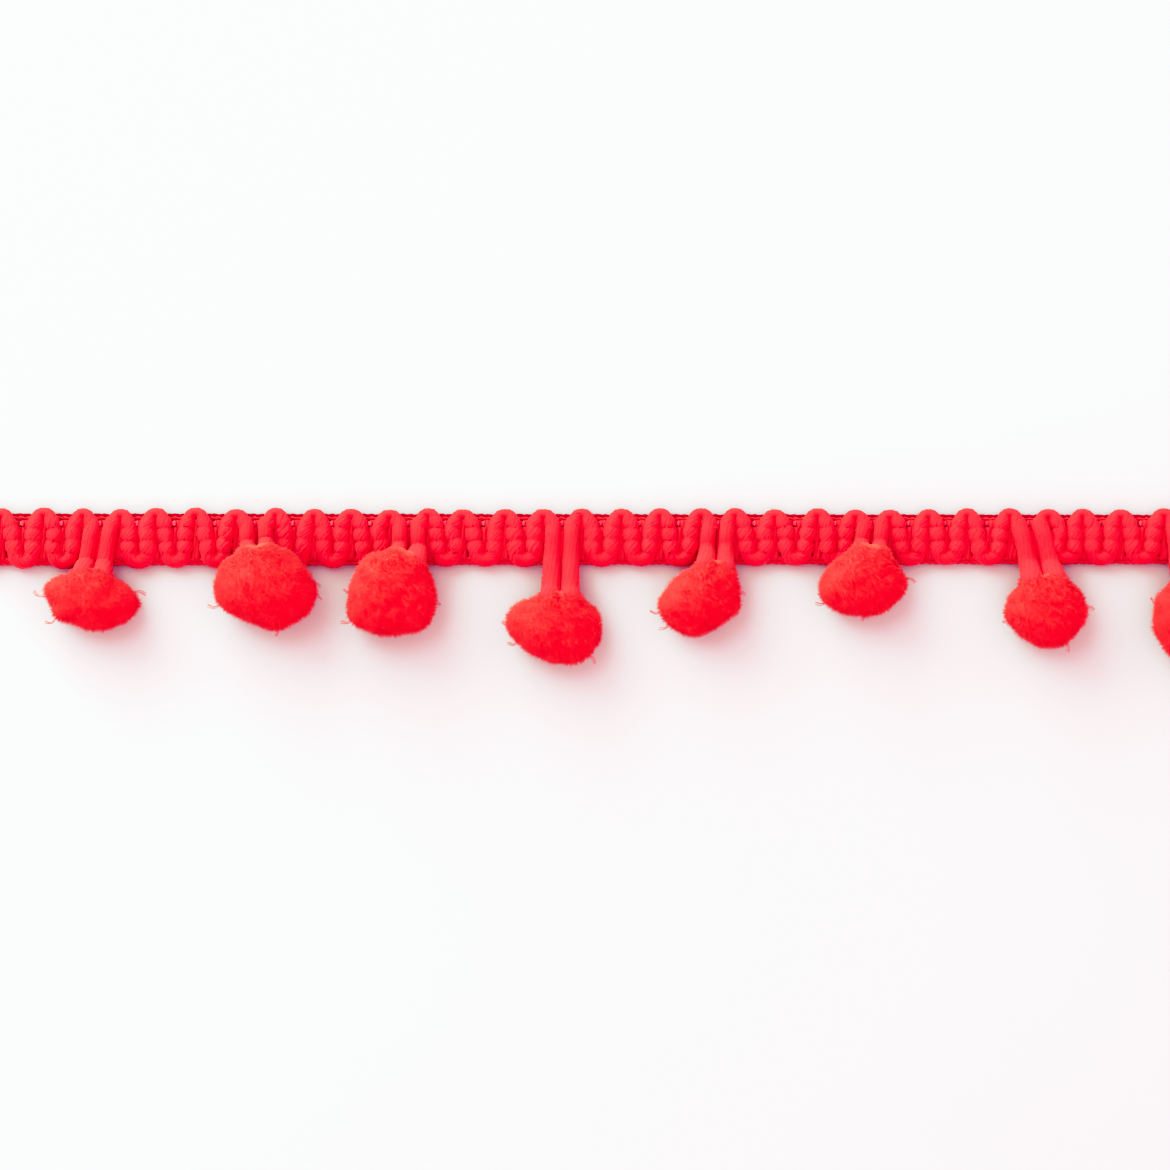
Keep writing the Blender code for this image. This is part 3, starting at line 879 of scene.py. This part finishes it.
def surfaceZ(size, centre, x, y):
    # the height of the pompom's upper surface
    x, y = x - centre.x, y - centre.y
    inside = min(1.0, math.hypot(x, y) / reachTowards(reachRound(size), x, y))
    return centre.z + size["height"] * mm / 2 * (1 - inside ** size["fullness"]) ** (1 / size["fullness"])


def swollen(place, legs):
    # how far out the pile is lifted at `place` where it runs up round the legs
    outwards, blend = place.normalized(), stem["blend"]
    for step in np.arange(0, stem["swell"], stem["swellStep"]):
        leg = min((place + outwards * step - spot).length - stem["inLeg"] * thick for spot, thick in legs)
        mix = clamp(0.5 + 0.5 * (step - leg) / blend)
        if step + (leg - step) * mix - blend * mix * (1 - mix) > 0:
            return outwards * step
    return outwards * stem["swell"]


def ballCentre(size):
    centre = Vector((size["x"], size["y"], size["height"] / 2)) * mm
    centre.z -= ball["restFlat"]
    return centre


def ballMesh(name, size, lumps, legs):
    centre = ballCentre(size)
    nearLegs = [(spot - centre, thick) for run in legs for spot, thick in run[::2]]
    reaches = reachRound(size)
    half = size["height"] * mm / 2
    shape = bmesh.new()
    bmesh.ops.create_icosphere(shape, subdivisions=ball["subdivisions"], radius=1)
    for vert in shape.verts:
        d = vert.co.normalized()
        level = math.hypot(d.x, d.y)
        reach = reachTowards(reaches, d.x, d.y)
        full = (level ** size["fullness"] + abs(d.z) ** size["fullness"]) ** (-1 / size["fullness"])
        place = Vector((d.x * reach, d.y * reach, d.z * half)) * full
        place *= 1 + ball["lump"] * noise.noise(lumps + place / ball["lumpSize"])
        pit = noise.noise(lumps + place / ball["pitSize"])
        place -= place.normalized() * (ball["underPile"] + ball["pit"] * pit)
        if d.y > ball["legsFrom"]:
            place += swollen(place, nearLegs)
        vert.co = centre + place
        vert.co.z = max(vert.co.z, floorUnder(vert.co.y) + ball["clearGap"])
    bmesh.ops.recalc_face_normals(shape, faces=shape.faces)
    mesh = bpy.data.meshes.new(name)
    shape.to_mesh(mesh)
    shape.free()
    mesh.shade_smooth()
    mesh.materials.append(pileFibre)
    return mesh


def legRun(index, side, size, centre):
    # one leg of a stem loop: out of the braid, along the tie and spread into the pompom
    stout = size["stout"]
    rootX = (picots[index]["x"] + picots[index + 1]["x"]) / 2 + side * stem["rootOffset"] * stout
    neckX = size["neck"] * mm + side * stem["neckOffset"] * stout
    rim = rimAt(size, neckX)
    girth, neck = stem["girth"] * stout, stem["neckGirth"] * stout

    def laid(place, thick, above=0.0):
        # the leg leans evenly from its root to the neck
        y = place[0] + above
        lean = clamp((stem["leanFromY"] - y) / (stem["leanFromY"] - rim)) ** stem["lean"]
        return Vector((rootX + (neckX - rootX) * lean, y, place[1])), thick

    def sunk(places, thicks):
        # past the rim it follows the pompom's own surface, a little deeper at each step
        knots = []
        for (inside, depth), thick in zip(places, thicks):
            x = neckX + (size["x"] * mm - neckX) * inside / stem["gather"] + side * thick * stem["splay"]
            z = surfaceZ(size, centre, x, rim - inside) - depth * thick
            knots.append((Vector((x, rim - inside, z)), thick))
        return knots

    knots = [laid((y, z), girth * share) for y, z, share in stem["root"]]
    knots.append(laid(stem["laid"], girth))
    if rim < stem["nextBelow"]:
        knots.append(laid(stem["nextLaid"], girth))
    if rim < stem["lastBelow"]:
        knots.append(laid(stem["lastLaid"], (girth + neck) / 2))
    if rim > stem["tuckedAbove"]:
        knots.append(laid(stem["tuckedNeck"], girth, rim))
        knots += sunk(stem["tucked"], (girth, neck))
    else:
        knots.append(laid(stem["neck"], neck, rim))
        knots += sunk(stem["spread"], [neck * share for share in stem["spreadGirths"]] + [stem["flare"]])
    return smoothRun(knots, stem["step"])


def webRun(size, legs):
    rim = rimAt(size, size["neck"] * mm)
    middles = [((place + other) / 2, (thick + otherThick) / 2)
               for (place, thick), (other, otherThick) in zip(*legs)]
    return [(place - Vector((0, 0, web["drop"] * thick)), web["girth"]) for place, thick in middles
            if rim - web["rimGap"] < place.y < web["topY"]]


def wispRun(centre, tip):
    end = Vector((tip[0] * mm, tip[1] * mm, centre.z - wisp["drop"]))
    base = centre.lerp(end, wisp["from"])
    side = Vector((-(end - base).y, (end - base).x, 0)) * wisp["bow"]
    places = (base, base.lerp(end, wisp["middle"]) + side, end)
    return smoothRun(list(zip(places, wisp["girths"])), wisp["step"])


rng = random.Random(ball["seed"])
stems = [i for i in range(trim["loops"]) if isStem(i)]
finished = []
for number, (size, index) in enumerate(zip(pompoms, stems), start=1):
    lumps = Vector([rng.uniform(0, ball["noiseReach"]) for axis in range(3)])
    name = f"pompomPile{number}"
    centre = ballCentre(size)
    legRuns = [legRun(index, side, size, centre) for side in (-1, 1)]
    core = ballMesh(name, size, lumps, legRuns)
    rimY = max(y for x, y in size["outline"]) * mm
    tie = Vector((size["neck"] * mm, rimY + ball["tieAbove"], centre.z))
    pile = growFibres(name, core, {
        "Density": 7.2e7, "Length": 0.60 * mm, "Shortest": 0.35, "Width": 0.075 * mm, "Lean": 0.30,
        "Clump": 1.9, "Clump Size": 0.85 * mm, "Tie": tie, "Comb": 2.8, "Comb Reach": 4.5 * mm,
        "Seed": 20 + number, "Material": pileFibre})
    stray = growFibres(name, core, {
        "Density": 3.0e6, "Length": 0.90 * mm, "Width": 0.035 * mm, "Lean": 0.8, "Segments": 3,
        "Curl": 5.0, "Clump Size": 0.9 * mm, "Tie": tie, "Comb": 1.0, "Comb Reach": 2.5 * mm,
        "Seed": 40 + number, "Material": pileFibre})
    webs = [webRun(size, legRuns)] if rimAt(size, size["neck"] * mm) < web["fromRim"] else []
    legMesh = layYarn(name + "Legs", legRuns + webs, {
        "Ring Spacing": 0.25 * mm, "Strands": 12, "Strand Offset": 0.70, "Strand Girth": 0.31,
        "Turns Per Metre": 25.0, "Flatness": 0.82, "Wander": 0.06, "Softness": 0.8, "Seed": 60 + number,
        "Material": braidFibre})
    wispMesh = layYarn(name + "Wisps", [wispRun(centre, tip) for tip in size["wisps"]], {
        "Ring Spacing": 0.2 * mm, "Strands": 3, "Strand Offset": 1.8, "Strand Girth": 0.42, "Sides": 3,
        "Turns Per Metre": 60.0, "Wander": 0.6, "Seed": 100 + number, "Material": pileFibre})
    legTie = tie + Vector((0, ball["legTieAbove"], 0))
    legFuzz = growFibres(name + "Legs", legMesh, {
        "Density": 1.2e7, "Length": 0.36 * mm, "Width": 0.05 * mm, "Lean": 0.8, "Tie": legTie,
        "Comb": 2.5, "Comb Reach": 20 * mm, "Seed": 80 + number, "Material": pileFibre})
    parts = [core, pile, stray, legMesh, legFuzz, wispMesh]
    counts = [triangles(mesh) for mesh in parts]
    piece = joinMeshes(name, parts)
    liftClear(piece)
    finished.append((piece, f"pompom_{number}"))
    print(name, sum(counts), "triangles:", counts)


# riding and replacing

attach(braid, "root")
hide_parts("braid")
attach(threads, "root")
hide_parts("braid")
for piece, node in finished:
    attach(piece, "root")
    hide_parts(node)


# floor, light and camera

studio = {
    "floor": 1.5,
    "world": 1.66,
    "fillColour": "#FFE7E9",
    "keyColour": "#B0FFF6",
    "keyPlace": (-0.20, 0.19, 0.40),
    "keySize": 0.40,
    "keyPower": 0.80,
    "rakePlace": (-0.30, 0.41, 0.17),
    "rakeSize": 0.60,
    "rakePower": 4.3,
    # tone curves for red, green and blue: red rolls off late, the others have a toe and a shoulder
    "whiteLevel": (1.6, 1.0, 1.0),
    "tones": (
        ((0.0, 0.0), (0.375, 0.66), (0.53, 0.86), (0.625, 0.962), (0.81, 0.988), (1.0, 1.0)),
        ((0.0, 0.0), (0.092, 0.001), (0.105, 0.0055), (0.12, 0.016), (0.16, 0.042), (0.23, 0.095),
         (0.52, 0.43), (0.66, 0.68), (0.76, 0.80), (0.94, 0.93), (1.0, 0.985)),
        ((0.0, 0.0), (0.05, 0.019), (0.08, 0.041), (0.15, 0.10),
         (0.52, 0.43), (0.66, 0.69), (0.76, 0.812), (0.94, 0.94), (1.0, 0.985)),
    ),
}
camera = {
    "x": -3.27 * mm,
    "y": -4.05 * mm,
    "planeZ": 1.6 * mm,
    "width": 106.4 * mm,  # of what it sees at that height
    "lens": 135.0,
    "sensor": 36.0,
    "clip": (0.01, 20),
}


def areaLight(name):
    # it aims at the middle of the braid
    light = bpy.data.lights.new(name, "AREA")
    light.shape = "DISK"
    light.size = studio[name + "Size"]
    light.energy = studio[name + "Power"]
    light.color = linear(studio["keyColour"])[:3]
    obj = newObject(name, light)
    obj.location = studio[name + "Place"]
    obj.rotation_euler = (-obj.location).to_track_quat("-Z", "Y").to_euler()


def paperMaterial():
    # matt white board
    material = bpy.data.materials.new("mattWhiteBoard")
    material.use_nodes = True
    shader = material.node_tree.nodes["Principled BSDF"]
    shader.inputs["Base Color"].default_value = linear("#C4BFC0")
    shader.inputs["Roughness"].default_value = 0.9
    shader.inputs["Specular IOR Level"].default_value = 0.1
    return material


floorMesh = bpy.data.meshes.new("floor")
floorShape = bmesh.new()
bmesh.ops.create_grid(floorShape, x_segments=1, y_segments=1, size=studio["floor"])
floorShape.to_mesh(floorMesh)
floorShape.free()
floorMesh.materials.append(paperMaterial())
floor = newObject("floor", floorMesh)

world = bpy.data.worlds.new("studio")
world.use_nodes = True
background = world.node_tree.nodes["Background"]
background.inputs["Color"].default_value = linear(studio["fillColour"])
background.inputs["Strength"].default_value = studio["world"]
bpy.context.scene.world = world
areaLight("key")
areaLight("rake")
view = bpy.context.scene.view_settings
view.view_transform = "Standard"
view.use_curve_mapping = True
mapping = view.curve_mapping
mapping.white_level = studio["whiteLevel"]
mapping.extend = "HORIZONTAL"
for curve, tones in zip(mapping.curves, studio["tones"]):
    curve.points[0].location = tones[0]
    curve.points[1].location = tones[-1]
    for place in tones[1:-1]:
        curve.points.new(*place)
    for point in curve.points:
        point.handle_type = "VECTOR"
mapping.update()

cameraData = bpy.data.cameras.new("camera")
cameraData.lens = camera["lens"]
cameraData.sensor_width = camera["sensor"]
cameraData.clip_start, cameraData.clip_end = camera["clip"]
cameraObject = newObject("camera", cameraData)
away = camera["width"] * camera["lens"] / camera["sensor"]
cameraObject.location = (camera["x"], camera["y"], camera["planeZ"] + away)
bpy.context.scene.camera = cameraObject
print("stage set")
